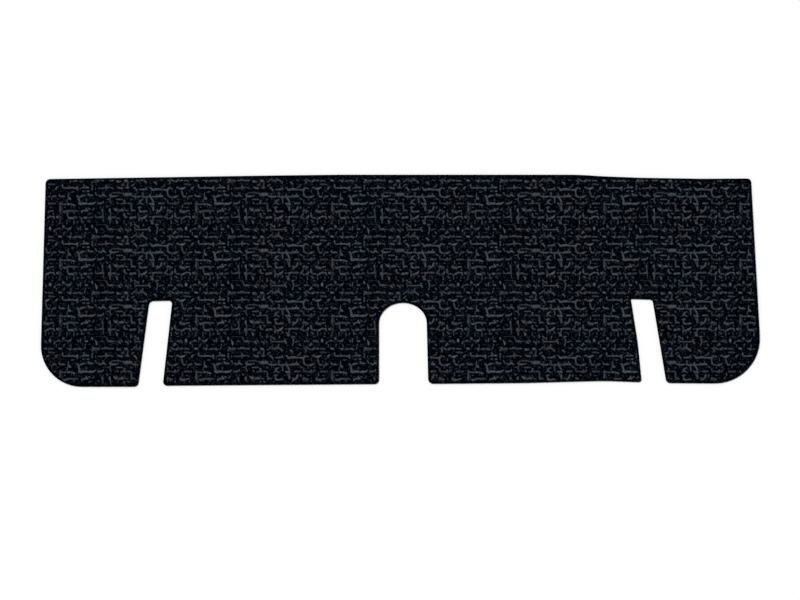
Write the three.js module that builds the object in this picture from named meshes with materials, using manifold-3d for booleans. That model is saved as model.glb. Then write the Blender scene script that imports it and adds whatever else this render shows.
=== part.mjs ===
// A trunk mat, cut in one piece from a thick sheet of coarse tweed cloth.
// Two leaning slots let the mat drop over brackets, and a round-headed notch is cut into the middle of its front edge.
// The cloth's pattern stands up from its ground as slubs: long floats of weft, with ties of warp between them.
//
// Millimetres. Seen from above, +X runs to the right, +Y to the back edge and +Z up from the floor.
// The outline is drawn from the mat's middle line in x and from its front edge in y.
// The finished mat is then centred, so the origin is on the floor under the middle of the outline.

import * as THREE from "three";
import { ConvexGeometry } from "three/addons/geometries/ConvexGeometry.js";
import { mergeVertices } from "three/addons/utils/BufferGeometryUtils.js";
import Module from "manifold-3d";

const wasm = await Module();
wasm.setup();

// Sheet
const width = 1150; // across the ends, where they are widest
const depth = 339; // from the front edge of the left end to the highest stretch of the back edge
const clothThickness = 5; // from the floor to the ground of the weave
const edgeRoll = 1.8; // radius of the pressed upper edge

// Ends: flare is how far a side leans out on its way to the front, drop how far its back corner lies
// below the back edge's highest stretch, and rise how far its front edge lies above the left end's.
const leftEnd = { flare: 7.6, drop: 7, backRadius: 7.9, rise: 0, frontRadius: 65 };
const rightEnd = { flare: 14.4, drop: 6, backRadius: 6.4, rise: 4.8, frontRadius: 72 };

// Bends in the long edges, as they are cut: the place along the edge, and how far the edge lies
// below the highest stretch at the back or above the left end at the front.
const backBends = [
  { x: 479, drop: 6.4 },
  { x: 383, drop: 4.8 },
  { x: 320, drop: 2.4 },
  { x: 288, drop: 0 },
  { x: -97, drop: 0 },
  { x: -225, drop: 1.5 },
];
const frontBends = [
  { x: 198, rise: 5.9 },
  { x: 326, rise: 9.3 },
];
const bendRadius = 300;

// Bracket slots: lean is how far the head lies to the right of the mouth, and bow how far the left side
// of the slot bends to the right halfway up.
const leftSlot = {
  mouth: { x: -399.9, width: 39.4, leftRise: 0, rightRise: 1.6, leftRadius: 7.5, rightRadius: 6.3 },
  head: { lean: 16.7, width: 36.6, leftDepth: 136.8, rightDepth: 137.6, leftRadius: 7.7, rightRadius: 4.9 },
  bow: 0,
};
const rightSlot = {
  mouth: { x: 405.5, width: 39.4, leftRise: 7.1, rightRise: 5.8, leftRadius: 4.6, rightRadius: 7.5 },
  head: { lean: -19.8, width: 34.7, leftDepth: 140.1, rightDepth: 139.1, leftRadius: 1, rightRadius: 5.3 },
  bow: 2,
};

// Round-headed notch: its sides run up to the springing of an arch.
const notch = {
  mouth: { x: 5.1, width: 78.7, leftRise: 4.2, rightRise: 4.6, leftRadius: 7.3, rightRadius: 8.1 },
  arch: { x: 3.9, width: 76.3, depth: 134.1, rise: 33 },
};

// Weave: one repeat of the pattern is a block of warps by wefts.
const warpPitch = 11.45;
const weftPitch = 11.2;
const repeatWarps = 19;
const repeatWefts = 8;
const repeatStart = { x: -544.3, y: 325.8 }; // the back left corner of one repeat
const slubWidth = 4;
const slubHeight = 1;
const slubTaper = 2.5; // length over which a slub's end runs down to the ground
const slubRoot = 0.5; // how deep a slub is rooted in the cloth
const slubMargin = 3; // bare cloth between the slubs and a cut edge
const shortestSlub = 9;

// Weft floats of one repeat: for each row, its distance from the repeat's back edge in wefts,
// and the warps that each float starts and ends at.
const weftFloats = [
  { row: 0.7, floats: [[0.3, 2.4], [2.8, 4], [5.3, 7.4], [12.6, 15]] },
  { row: 1.8, floats: [[5.3, 6.4], [7.1, 10], [11.6, 14.2], [15.2, 16.5], [17.2, 18.4]] },
  { row: 2.9, floats: [[0, 2], [2.7, 5], [8.7, 10], [12.4, 13.8], [15.1, 16.6], [17.3, 18.4]] },
  { row: 3.95, floats: [[0.4, 2.5], [2.9, 4], [8.2, 9.5], [11, 12.3], [16.6, 18.4]] },
  { row: 4.9, floats: [[1.1, 4.6], [4.9, 6.1], [7.1, 8.4], [9, 10.6], [12.3, 14.4], [16.9, 18.3]] },
  { row: 6.6, floats: [[0.3, 1.5], [6.7, 8.8], [10.8, 12.6]] },
  { row: 7.65, floats: [[1, 3.1], [4.6, 7.5], [10.5, 11.6], [16.2, 17.2]] },
];

// Warp ties of one repeat: the warp, and the wefts that the tie starts and ends at.
const warpTies = [
  { warp: 0.1, from: 2.9, to: 5.3 },
  { warp: 2.6, from: 1.6, to: 2.9 },
  { warp: 6, from: 3.5, to: 5.5 },
  { warp: 7.1, from: 1.5, to: 2.9 },
  { warp: 7.1, from: 3.7, to: 5.7 },
  { warp: 10, from: 2.9, to: 3.9 },
  { warp: 11, from: 2.4, to: 4 },
  { warp: 11, from: 4.4, to: 5.5 },
  { warp: 13, from: 2, to: 3.9 },
  { warp: 13.6, from: 6, to: 7.2 },
  { warp: 15, from: 0.7, to: 1.9 },
  { warp: 16.1, from: 3.9, to: 4.9 },
];

const arcStep = THREE.MathUtils.degToRad(8);
const cutAllowance = 10; // how far a cutting slab reaches past what it cuts

// The corner where a side's line meets the front edge of its end, so that the mat is as wide as stated
// at the height where the front corner's arc begins.
function frontCorner(end, side) {
  const widest = { x: (side * width) / 2, y: end.rise + end.frontRadius };
  const backHeight = depth - end.drop;
  const lean = end.flare / (backHeight - widest.y);
  return { x: widest.x + side * lean * end.frontRadius, y: end.rise, radius: end.frontRadius };
}

function backCorner(end, side) {
  return { x: side * (width / 2 - end.flare), y: depth - end.drop, radius: end.backRadius };
}

function slotCorners({ mouth, head, bow }) {
  const headX = mouth.x + head.lean;
  const leftMouth = { x: mouth.x - mouth.width / 2, y: mouth.leftRise, radius: mouth.leftRadius };
  const leftHead = { x: headX - head.width / 2, y: head.leftDepth, radius: head.leftRadius };
  const halfway = {
    x: (leftMouth.x + leftHead.x) / 2 + bow,
    y: (leftMouth.y + leftHead.y) / 2,
    radius: bendRadius,
  };
  return [
    leftMouth,
    ...(bow === 0 ? [] : [halfway]),
    leftHead,
    { x: headX + head.width / 2, y: head.rightDepth, radius: head.rightRadius },
    { x: mouth.x + mouth.width / 2, y: mouth.rightRise, radius: mouth.rightRadius },
  ];
}

// The notch's corners, with points along its arch from the left springing to the right one.
function notchCorners({ mouth, arch }) {
  const springing = arch.depth - arch.rise;
  const curve = new THREE.EllipseCurve(arch.x, springing, arch.width / 2, arch.rise, Math.PI, 0, true);
  const archPoints = curve.getPoints(Math.ceil(Math.PI / arcStep));
  return [
    { x: mouth.x - mouth.width / 2, y: mouth.leftRise, radius: mouth.leftRadius },
    ...archPoints.map(({ x, y }) => ({ x, y, radius: 0 })),
    { x: mouth.x + mouth.width / 2, y: mouth.rightRise, radius: mouth.rightRadius },
  ];
}

// The outline's corners, counter-clockwise from the back left one.
function outlineCorners() {
  return [
    backCorner(leftEnd, -1),
    frontCorner(leftEnd, -1),
    ...slotCorners(leftSlot),
    ...notchCorners(notch),
    ...frontBends.map(({ x, rise }) => ({ x, y: rise, radius: bendRadius })),
    ...slotCorners(rightSlot),
    frontCorner(rightEnd, 1),
    backCorner(rightEnd, 1),
    ...backBends.map(({ x, drop }) => ({ x, y: depth - drop, radius: bendRadius })),
  ];
}

// The points that replace a corner by an arc, which may take up to half of each edge beside it.
function arcPoints(before, corner, after) {
  const at = new THREE.Vector2(corner.x, corner.y);
  const back = new THREE.Vector2(before.x, before.y).sub(at);
  const onward = new THREE.Vector2(after.x, after.y).sub(at);
  const room = Math.min(back.length(), onward.length()) / 2;
  back.normalize();
  onward.normalize();
  const half = Math.acos(THREE.MathUtils.clamp(back.dot(onward), -1, 1)) / 2;
  const reach = Math.min(corner.radius / Math.tan(half), room);
  const radius = reach * Math.tan(half);
  const turn = Math.PI - 2 * half;
  const side = -Math.sign(back.cross(onward));
  const inward = back.clone().add(onward).normalize();
  const centre = at.clone().addScaledVector(inward, radius / Math.sin(half));
  const start = at.clone().addScaledVector(back, reach).sub(centre);
  const steps = Math.max(1, Math.ceil(turn / arcStep));
  return Array.from({ length: steps + 1 }, (_, i) =>
    start.clone().rotateAround(new THREE.Vector2(), (side * turn * i) / steps).add(centre),
  );
}

function outlinePoints(corners) {
  return corners.flatMap((corner, i) => {
    if (corner.radius === 0) return [new THREE.Vector2(corner.x, corner.y)];
    const before = corners.at(i - 1);
    const after = corners[(i + 1) % corners.length];
    return arcPoints(before, corner, after);
  });
}

// A closed geometry as a solid that can be joined and cut.
function solidOf(geometry) {
  const bare = geometry.clone();
  bare.deleteAttribute("normal");
  bare.deleteAttribute("uv");
  const merged = mergeVertices(bare);
  const vertProperties = new Float32Array(merged.getAttribute("position").array);
  const triVerts = new Uint32Array(merged.index.array);
  return new wasm.Manifold(new wasm.Mesh({ numProp: 3, vertProperties, triVerts }));
}

function geometryOf(solid) {
  const { vertProperties, triVerts } = solid.getMesh();
  const geometry = new THREE.BufferGeometry();
  geometry.setAttribute("position", new THREE.BufferAttribute(vertProperties, 3));
  geometry.setIndex(new THREE.BufferAttribute(triVerts, 1));
  geometry.computeVertexNormals();
  return geometry;
}

// The plain sheet. It is extruded with both edges rolled, and a slab under the floor takes the lower roll away.
function sheet(outline) {
  const blank = new THREE.ExtrudeGeometry(new THREE.Shape(outline), {
    depth: clothThickness,
    bevelThickness: edgeRoll,
    bevelSize: edgeRoll,
    bevelOffset: -edgeRoll,
    bevelSegments: 2,
  });
  blank.translate(0, 0, -edgeRoll);
  const slabHeight = 2 * edgeRoll + cutAllowance;
  const slab = new THREE.BoxGeometry(width + cutAllowance, 2 * (depth + cutAllowance), slabHeight);
  slab.translate(0, 0, -slabHeight / 2);
  return solidOf(blank).subtract(solidOf(slab));
}

// How far a point lies inside the outline, or a negative distance outside it.
function insideBy(point, outline) {
  let nearest = Infinity;
  let inside = false;
  const foot = new THREE.Vector3();
  const edge = new THREE.Line3();
  const at = new THREE.Vector3(point.x, point.y, 0);
  outline.forEach((a, i) => {
    const b = outline[(i + 1) % outline.length];
    edge.start.set(a.x, a.y, 0);
    edge.end.set(b.x, b.y, 0);
    edge.closestPointToPoint(at, true, foot);
    nearest = Math.min(nearest, foot.distanceTo(at));
    const crosses = a.y > point.y !== b.y > point.y;
    if (crosses && point.x < a.x + ((point.y - a.y) / (b.y - a.y)) * (b.x - a.x)) inside = !inside;
  });
  return inside ? nearest : -nearest;
}

// The stretches of a slub's line that keep their margin from every cut edge.
function laidStretches(from, to, outline) {
  const steps = Math.ceil(from.distanceTo(to));
  const margin = slubMargin + slubWidth / 2;
  const stretches = [];
  let start = null;
  let last = null;
  for (let i = 0; i <= steps; i++) {
    const at = from.clone().lerp(to, i / steps);
    const laid = insideBy(at, outline) >= margin;
    if (laid && !start) start = at;
    if (start && (!laid || i === steps)) {
      stretches.push([start, laid ? at : last]);
      start = null;
    }
    last = at;
  }
  return stretches.filter(([a, b]) => a.distanceTo(b) >= shortestSlub);
}

// One slub: a low roof over its line, hipped at both ends.
function slub([from, to]) {
  const along = to.clone().sub(from).normalize();
  const across = new THREE.Vector2(-along.y, along.x);
  const spread = (slubHeight + slubRoot) / slubHeight;
  const foot = clothThickness - slubRoot;
  const crest = clothThickness + slubHeight;
  const points = [
    [from, -1],
    [to, 1],
  ].flatMap(([end, outward]) => {
    const crestEnd = end.clone().addScaledVector(along, -outward * slubTaper);
    const footEnd = crestEnd.clone().addScaledVector(along, outward * slubTaper * spread);
    const feet = [-1, 1].map((side) => footEnd.clone().addScaledVector(across, (side * slubWidth * spread) / 2));
    return [
      new THREE.Vector3(crestEnd.x, crestEnd.y, crest),
      ...feet.map(({ x, y }) => new THREE.Vector3(x, y, foot)),
    ];
  });
  return solidOf(new ConvexGeometry(points));
}

// The lines of one repeat's slubs, from the repeat's back left corner.
function repeatLines() {
  const place = (warp, weft) => new THREE.Vector2(warp * warpPitch, -weft * weftPitch);
  const floats = weftFloats.flatMap(({ row, floats }) => floats.map(([a, b]) => [place(a, row), place(b, row)]));
  const ties = warpTies.map(({ warp, from, to }) => [place(warp, from), place(warp, to)]);
  return [...floats, ...ties];
}

// Every slub of the mat: the repeat's lines, laid over the whole sheet.
function slubs(outline) {
  const repeatWidth = repeatWarps * warpPitch;
  const repeatDepth = repeatWefts * weftPitch;
  const firstColumn = Math.floor((-width / 2 - repeatStart.x) / repeatWidth) - 1;
  const lastColumn = Math.ceil((width / 2 - repeatStart.x) / repeatWidth);
  const firstRow = Math.floor((repeatStart.y - depth) / repeatDepth) - 1;
  const lastRow = Math.ceil(repeatStart.y / repeatDepth);
  const made = [];
  for (let column = firstColumn; column <= lastColumn; column++) {
    for (let row = firstRow; row <= lastRow; row++) {
      const corner = new THREE.Vector2(
        repeatStart.x + column * repeatWidth,
        repeatStart.y - row * repeatDepth,
      );
      for (const [from, to] of repeatLines()) {
        const stretches = laidStretches(from.add(corner), to.add(corner), outline);
        made.push(...stretches.map(slub));
      }
    }
  }
  return made;
}

const outline = outlinePoints(outlineCorners());
const cloth = new THREE.MeshStandardMaterial({ color: 0x15181d, roughness: 0.95, metalness: 0 });
const mat = new THREE.Mesh(geometryOf(wasm.Manifold.union([sheet(outline), ...slubs(outline)])), cloth);
mat.name = "mat";

const middle = new THREE.Box2().setFromPoints(outline).getCenter(new THREE.Vector2());
mat.position.set(-middle.x, -middle.y, 0);

const trunkMat = new THREE.Group();
trunkMat.add(mat);

export default trunkMat;
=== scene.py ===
"""The looks of a trunk mat cut from thick slubbed tweed, laid on a pale floor and seen from straight above.

Metres, in the row frame: +X runs to the right, +Y to the back edge and +Z up from the floor.
"""

import math

import bpy
import numpy as np
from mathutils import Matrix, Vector
from mathutils.geometry import tessellate_polygon


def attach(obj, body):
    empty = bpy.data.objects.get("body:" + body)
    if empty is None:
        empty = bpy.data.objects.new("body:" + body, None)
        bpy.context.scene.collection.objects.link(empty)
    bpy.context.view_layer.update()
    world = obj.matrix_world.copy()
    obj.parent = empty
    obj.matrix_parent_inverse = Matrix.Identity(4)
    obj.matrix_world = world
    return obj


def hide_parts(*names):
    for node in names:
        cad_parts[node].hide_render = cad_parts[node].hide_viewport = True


MM = 0.001

# The cloth, as the part's source has it
CLOTH_TOP = 5 * MM  # the ground of the weave
EDGE_ROLL = 1.8 * MM
ROLL_STEPS = 5
WALL_MIDDLE = 0.35 * CLOTH_TOP  # a ring of corners on the cut wall

# The weave: one repeat is a block of warp ends by picks of weft
REPEAT_ENDS = 136
REPEAT_PICKS = 56
REPEAT_WIDTH = 19 * 11.45 * MM  # in the part's source, 19 of its warps
REPEAT_DEPTH = 8 * 11.2 * MM  # and 8 of its wefts
END = REPEAT_WIDTH / REPEAT_ENDS
PICK = REPEAT_DEPTH / REPEAT_PICKS
REPEAT_LEFT = -544.3 * MM
REPEAT_BACK = 156.24 * MM

# Slubs
SLUB_STEP = 1.7 * MM  # between the rings of a slub
LEAST_SPANS = 4  # between the rings of the shortest slub
CURVE_SPANS = 4  # of a slub's curve, between two of its points
SLUB_SIDES = 5
SLUB_HEIGHT = 0.95 * MM
SLUB_ROOT = 0.3 * MM
BARE_EDGE = 2.1 * MM  # bare cloth between the slubs and a cut edge
SHORTEST_SLUB = 1.2 * MM
END_CROWDING = 2  # how much closer the rings lie at the ends of a slub
END_REACH = 0.36  # of its width, by which a slub runs on past its last point
WIDTH_SPARE = 0.25  # ends, by which a slub is wider than it looks between its shaded sides
SWAY = 0.1 * MM
SWELL = 0.13  # of a slub's width
TONE_SWELL = 0.1  # by which a slub is paler where it is thicker
TONE_MOTTLE = 0.1
TONE_SPREAD = 0.03  # between the copies of a slub
KNOB_LIMIT = 1.6  # the uneven spinning at its strongest, before it is evened
KNOB_EVENNESS = 1.2
BASE_FULLNESS = 0.5  # the share of the full height that a slub has before its width counts
WIDTH_FULLNESS = 0.22  # the share that each end of width adds
TONE_FULLNESS = 0.4  # the share that a slub loses as its tone falls to nothing
LEAST_FULLNESS = 0.35
BLUNT_END = 0.22  # the width of a slub's end, as a share of its full width
END_CURVE = 0.55  # of its width, over which a slub's end widens
EDGE_SHARE = 0.4  # of its width, by which a slub keeps further from a cut edge
SPECK_TRIES = 600
SPECK_ROOM = 2.1  # ends between a speck and the next yarn
SPECK_LEAST = (0.2, 0.8, 0.18)  # a speck's half length in ends, width in ends and tone
SPECK_MOST = (0.7, 1.2, 0.4)
WEFT_SPECKS = 0.6  # the share of the specks that lie along the weft

# One repeat's slubs, each as a tone, then its yarn's points as (end, pick, width in ends), counted from
# the repeat's back left corner. Tone 1 is the plain charcoal of a slub, and the dimmest slubs show through
# from the layer below.

# Floats of weft, row by row
FLOATS = [
    (0.95, (2.5, 1.5, 1.6), (2.6, 4, 1.8), (4, 5, 1.9), (8, 5, 1.8), (12.5, 4.7, 1.4), (15.5, 5.4, 1.6),
     (17.5, 4.7, 2.6)),
    (0.95, (22, 4.7, 1.3), (25, 4.5, 1.5), (28, 4.6, 1.6), (29, 4.8, 1.6)),
    (0.75, (38.3, 5.4, 1.5), (42, 5.4, 1.3), (44.5, 4.9, 1.4), (46, 4.7, 2)),
    (0.85, (46, 4.6, 1.8), (50, 4.5, 1.4), (52, 5, 1.4), (52.8, 5.5, 2)),
    (0.85, (57.3, 4.4, 1.4), (58.8, 4.6, 2), (60, 5.3, 1.5), (61.5, 4.9, 2), (62.5, 5.8, 1.5)),
    (0.8, (65.5, 4.8, 1.6), (69, 4.8, 1.6)),
    (1, (73.7, 4.3, 1.5), (75, 5.2, 2.1), (76.3, 6.5, 1.5), (76.6, 8, 1.2)),
    (0.9, (79, 6.7, 1.3), (81, 6.5, 1.3), (83, 6.6, 1.8), (86, 6, 2.2), (87.3, 6.8, 1.3)),
    (0.95, (90.7, 4.9, 1.3), (91.7, 6.2, 1.6), (92.5, 7, 2.2), (95.5, 6.3, 2.2), (99, 6.1, 1.9)),
    (0.95, (99, 6.1, 1.9), (100.5, 6.6, 2), (103, 6.6, 1), (105.5, 7, 2.1), (107.5, 7, 1.8)),
    (1.03, (116.5, 5, 1), (118, 4.2, 2), (119, 5.2, 1.3), (120.3, 5.8, 1.8), (122.8, 5.5, 2.4),
     (125.5, 4.3, 1)),
    (0.95, (134, 3.9, 1.1), (131.9, 5.2, 2.3), (131.9, 6.7, 1.4)),
    (0.7, (124.3, 1.3, 1.3), (127.5, 1.4, 1.8), (130.8, 1.6, 1.3)),
    (0.95, (94, -1.1, 1.3), (95, -0.3, 1.8), (96.4, 0.6, 2.4), (96.6, 1.6, 1.5)),
    (0.7, (11.5, 9.2, 1.4), (13.8, 8.8, 1.8)),
    (0.6, (52, 9.6, 1.4), (56, 9.9, 1.5), (58.5, 9.6, 2), (61, 10.3, 1.6), (64, 10.5, 1.8)),
    (0.95, (63.5, 12, 1.6), (65, 11.5, 3), (70.5, 11.2, 3), (72, 10.7, 1.6)),
    (1, (-1, 11.3, 1.1), (-0.6, 12.6, 1.2), (0, 13.3, 2), (2, 13.3, 1.8), (5, 13.5, 1.2)),
    (0.85, (19.8, 14.2, 1.6), (22, 12.9, 2), (24.5, 12.6, 1.7), (26.3, 12.5, 1.1)),
    (0.9, (28.3, 10.8, 1.8), (28.9, 12.1, 2.2), (31, 12.4, 1.6), (33, 12.3, 1.6)),
    (1, (38.8, 12.3, 1.6), (40.3, 13.6, 1.7), (42, 12.8, 1.4), (43, 10.8, 1.8), (43.9, 12.4, 1.7),
     (46, 13.6, 1.1)),
    (0.9, (52, 13.4, 1.8), (54, 13.4, 1.7), (57, 13, 1.1), (58.5, 12.4, 1)),
    (0.95, (72, 12.4, 1.6), (73, 13.2, 1.5), (76, 13.9, 1.5), (78.5, 13.6, 1.9)),
    (1.2, (78.6, 13.6, 1.9), (79.8, 13.6, 1.9)),
    (0.95, (83.3, 13.7, 1.8), (86, 14, 1.9), (89, 13.7, 1.8), (91, 13.6, 2)),
    (1, (92, 13.5, 1.4), (94, 13.8, 1.2), (96.7, 13.6, 2), (98.5, 13.5, 1.6), (100.5, 12.9, 2.3),
     (103, 13.8, 1.4)),
    (0.85, (128.3, 14.2, 1.4), (129.8, 13.3, 2.2), (132.3, 13.3, 1.2)),
    (0.75, (47, 16.4, 1.4), (48.5, 16.3, 1.5)),
    (1, (56.3, 16.5, 1.1), (60.5, 16.4, 1.7), (62.7, 16.5, 1.1)),
    (0.65, (70.5, 16.8, 1.6), (72, 16.4, 1.6)),
    (0.85, (0, 20.6, 1.8), (2, 21, 1.6), (4, 21.4, 1.8)),
    (0.85, (4.3, 21.4, 1.9), (6.5, 21.2, 1.3)),
    (1.03, (7.8, 21.3, 1.8), (9.2, 21.2, 2)),
    (0.85, (9.5, 21, 1.5), (10.5, 20.9, 1.6), (12.5, 21.7, 2)),
    (1.1, (12.8, 21.6, 1.4), (14, 22.3, 1.6), (15, 22.5, 1.2)),
    (0.95, (19.5, 19.5, 2.4), (20, 21.3, 2.6), (22, 20.7, 2), (25.5, 20.6, 2.2), (28, 20.8, 1.8)),
    (0.95, (28, 20.8, 1.8), (31, 20.8, 2), (33.5, 20.5, 2.3), (35, 19.3, 1.4), (36, 18.8, 1)),
    (0.9, (37.5, 20.3, 1.4), (39.3, 20.7, 2.2), (41, 20.4, 1.5), (43, 19.7, 1.5), (43.5, 18.4, 1.6)),
    (0.9, (56.7, 19.6, 1.8), (58, 20.4, 2)),
    (0.7, (60.5, 21, 1.1), (63, 20.5, 1.4), (67.5, 20.4, 1.5), (71, 20.3, 1.5)),
    (0.9, (78.5, 21, 1.3), (79.5, 19.8, 2.2), (81.5, 20.5, 1.6), (83, 21.7, 1.1)),
    (1.03, (89.5, 20.5, 1.6), (91.5, 21, 1.8), (93.2, 20.6, 2.1), (94.3, 21.9, 1.4)),
    (0.85, (98.5, 20.5, 1.3), (100.5, 20.4, 2), (102.5, 20.4, 1.8), (104, 20.2, 1.2)),
    (0.65, (107.5, 20, 1.4), (109, 20.3, 1.5), (112, 20.5, 1.3), (113.7, 21.2, 1.8)),
    (0.65, (116, 20.6, 1.5), (118, 20.3, 1.5), (119, 19.7, 1)),
    (0.8, (124.2, 20.5, 1.3), (126, 20.5, 1.9), (128, 20.6, 1.4), (131.5, 20.5, 1.7)),
    (1.03, (3.4, 28.6, 1.8), (5, 29.3, 2.1)),
    (0.85, (5, 28.9, 2), (7, 28.3, 1.8), (9, 27.8, 2), (12, 27.8, 2), (14.5, 28, 1.8), (16, 27.6, 1.6),
     (18, 28.3, 1.5)),
    (1, (21.5, 29.8, 1.3), (22, 28.5, 2), (23.5, 27.9, 1.8), (26, 27.3, 2.3), (28, 27.6, 1.7)),
    (0.7, (29, 25.7, 2), (29.9, 26.3, 1.8)),
    (0.7, (32.5, 27.2, 1.8), (33.5, 26.5, 1.8), (34.3, 25, 1.3)),
    (0.6, (28.5, 31.3, 1.2), (30.5, 30.4, 2.4), (31.3, 30.4, 2)),
    (1, (53.7, 25.3, 1.7), (55, 26.5, 2.3), (57.3, 27.7, 1.8)),
    (0.95, (59.3, 28, 1.9), (61, 27.2, 2), (63.3, 27.5, 2)),
    (0.75, (65.5, 27.5, 1.5), (67.8, 27.8, 1.5)),
    (0.95, (71.8, 28.3, 1.6), (72.6, 27, 2.4), (75.2, 28, 1.3)),
    (0.95, (79.4, 27.5, 1.9), (80.5, 28.6, 1.9), (83, 28.8, 1.9), (85.5, 28.3, 1.8), (87.4, 28.5, 1.2)),
    (0.85, (107.5, 26.3, 1.2), (108.5, 27.4, 2.2), (110, 27.7, 1.7), (112, 28.5, 1.9)),
    (0.85, (120.3, 27, 1.8), (120.8, 28.5, 2.6), (123, 28.8, 2), (125, 28.9, 2.2), (127, 28, 1.6),
     (129.5, 27.7, 1.2)),
    (1, (8.5, 35, 1.6), (11, 35.2, 2.3), (12.7, 35.1, 2.2), (13.7, 36.3, 1.4)),
    (0.6, (13.5, 34.5, 1.2), (15.5, 33.3, 1.3), (16.5, 34.4, 1.4)),
    (0.7, (19.3, 34, 1.4), (20.5, 35, 1.4), (22.5, 35.7, 1.5)),
    (1.1, (24, 34.7, 1.8), (25.5, 34.8, 2.6), (27, 34.7, 1.5)),
    (0.65, (28.5, 35, 1.2), (31.3, 34.5, 2), (33, 34.3, 1.3)),
    (0.8, (36, 34.6, 1.1), (38.5, 34.3, 1.2), (40, 34.2, 1.9), (41.5, 33.6, 1.8), (43, 34.2, 1.6),
     (44, 34.5, 1.2)),
    (0.7, (52, 34.4, 1.8), (55, 34.3, 1.7), (57, 35, 1.5), (58.5, 35.5, 1.5), (60, 34.5, 1)),
    (0.7, (66, 34.3, 1.5), (67.4, 34.5, 1.1)),
    (0.95, (69.8, 34.8, 1.7), (71.5, 34.9, 2.4), (73.5, 34.5, 2.2), (75.8, 34.3, 1.8)),
    (1.03, (80, 35.3, 1.5), (81.5, 35.5, 2), (83, 35, 2), (84.5, 34.5, 2.2), (86, 33.3, 1.9),
     (86.7, 32, 1.3)),
    (0.7, (89, 34.2, 1.3), (90, 34, 2), (91.2, 34, 1.3)),
    (1.15, (92.9, 34.3, 2.2), (93.9, 34, 2)),
    (0.8, (94, 33.7, 1.6), (97, 33.6, 1.5), (100.5, 33.7, 2.2), (102.5, 33.9, 1.2)),
    (1, (120.8, 36, 1.2), (122.5, 35.3, 1.8), (124.3, 34.5, 1.6), (126, 33.5, 1.7), (128, 33.7, 1.4),
     (129.5, 33.7, 1.6)),
    (1, (129.5, 33.6, 1.7), (130.3, 34.8, 1.9), (130.5, 36, 1.5)),
    (1, (133, 33.5, 1.8), (133.5, 34.4, 2.2), (134.3, 35, 1.6)),
    (0.65, (134.5, 33, 1.5), (136.5, 34, 2.4), (137, 35.5, 1.6)),
    (0.35, (36, 41.6, 1), (43.8, 41.5, 1)),
    (0.95, (74.2, 41.3, 1.3), (75.3, 41.6, 1.6)),
    (0.75, (95, 41.5, 1.2), (96.5, 41.6, 1.5), (98.5, 41.5, 1.4)),
    (0.65, (5.2, 45.7, 1.3), (7, 45.8, 1.8), (8.7, 46.3, 2)),
    (1, (8.8, 46.2, 1.6), (10.2, 45.6, 1.8), (11, 44.8, 1.3)),
    (1.12, (25.4, 46.2, 1.4), (26.3, 46.1, 1.7), (27.5, 46.3, 2)),
    (0.55, (40.2, 46.6, 1.2), (42, 46.2, 1.5), (43.9, 46.8, 1.1)),
    (0.85, (47.8, 45.4, 1), (48.3, 46.4, 1.5), (50, 46.2, 1.8), (52.5, 46.2, 2), (53.6, 46.5, 1.5)),
    (0.45, (54.3, 46.6, 1.2), (57, 46.4, 1.2), (59, 46, 1.4)),
    (0.7, (59.5, 45.7, 1.4), (61, 45.4, 1.6), (62, 46.2, 1.6), (62.5, 47.6, 1.1)),
    (0.95, (58.5, 46.9, 1.4), (59.4, 47.4, 1.6), (60.6, 48.4, 1.5)),
    (0.7, (65.2, 46.8, 1.6), (66.5, 46.7, 1.8), (67.7, 47.5, 1.7), (67.6, 49.6, 1.4)),
    (0.85, (75.8, 46.6, 1.3), (79, 46.6, 1.5), (82, 46.6, 1.5), (84.5, 46.7, 1.6), (87, 46.5, 1.6)),
    (1, (87.6, 46.3, 1.5), (88.5, 46.2, 1.8), (89.5, 46.8, 1.6), (90.3, 48.6, 1.7)),
    (0.7, (99, 47, 1.4), (100.5, 46.7, 1.7), (102, 46.3, 1.4), (103.5, 46.3, 1.2)),
    (0.95, (108.3, 46.4, 1.4), (110.3, 46.2, 1.9)),
    (0.7, (110.5, 46.2, 1.8), (112, 46.4, 1.6), (113, 46.5, 1.1)),
    (1, (117.2, 46.3, 1.5), (118.7, 45.9, 1.9)),
    (0.75, (118.9, 45.8, 1.6), (120, 45.6, 1.4), (121.4, 45.8, 1.4), (122, 46.8, 1.7), (122.3, 47.9, 1.2)),
    (0.55, (131.2, 46.5, 1.3), (132.5, 46.4, 1.6), (134, 45.8, 1.5)),
    (1, (134.3, 45.7, 1.5), (135.6, 45.6, 1.6)),
    (0.7, (135.8, 45.8, 1.5), (136.8, 46.3, 1.5)),
    (0.8, (7.2, 53.3, 1.2), (8.5, 53.6, 1.6)),
    (1.03, (9.4, 53.8, 2.2), (10.2, 54.4, 2.6)),
    (0.8, (10.8, 53.6, 1.4), (11.8, 53.3, 1.1)),
    (0.8, (13, 54.4, 1.4), (15, 54, 1.8), (16.5, 53.9, 1.5), (19, 53.7, 1.7), (20.5, 53.4, 1.6)),
    (0.5, (20.8, 53.6, 1.5), (22, 54, 1.5), (23.5, 54.2, 1.1)),
    (1.06, (33, 53.5, 1.9), (34.3, 53.3, 2.2)),
    (0.8, (35.2, 53.6, 1.6), (37.5, 53.6, 1.9), (39.6, 53.7, 1.7)),
    (1, (41.3, 53.6, 1.2), (42.4, 53.7, 1.7), (43.7, 53.8, 1.4)),
    (0.8, (44, 53.6, 1.6), (45.5, 53, 2.2), (46.5, 52.8, 2.2), (48, 53.5, 2), (50.5, 53.7, 2),
     (52, 53.5, 1.8)),
    (1, (52, 53.4, 1.7), (53.5, 53.7, 1.2)),
    (1.06, (57, 54, 1.6), (58.3, 54.4, 2.6)),
    (0.85, (59, 54.5, 2), (60, 54.5, 1.7), (61.3, 54.8, 1.1)),
    (1.12, (64.4, 53.3, 1.2), (66, 53.6, 2), (67.5, 54.3, 1.8)),
    (0.95, (71, 54.7, 1.2), (72.7, 54.4, 1.6), (73.6, 53.6, 1.3), (74.3, 52.5, 1.9)),
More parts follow.
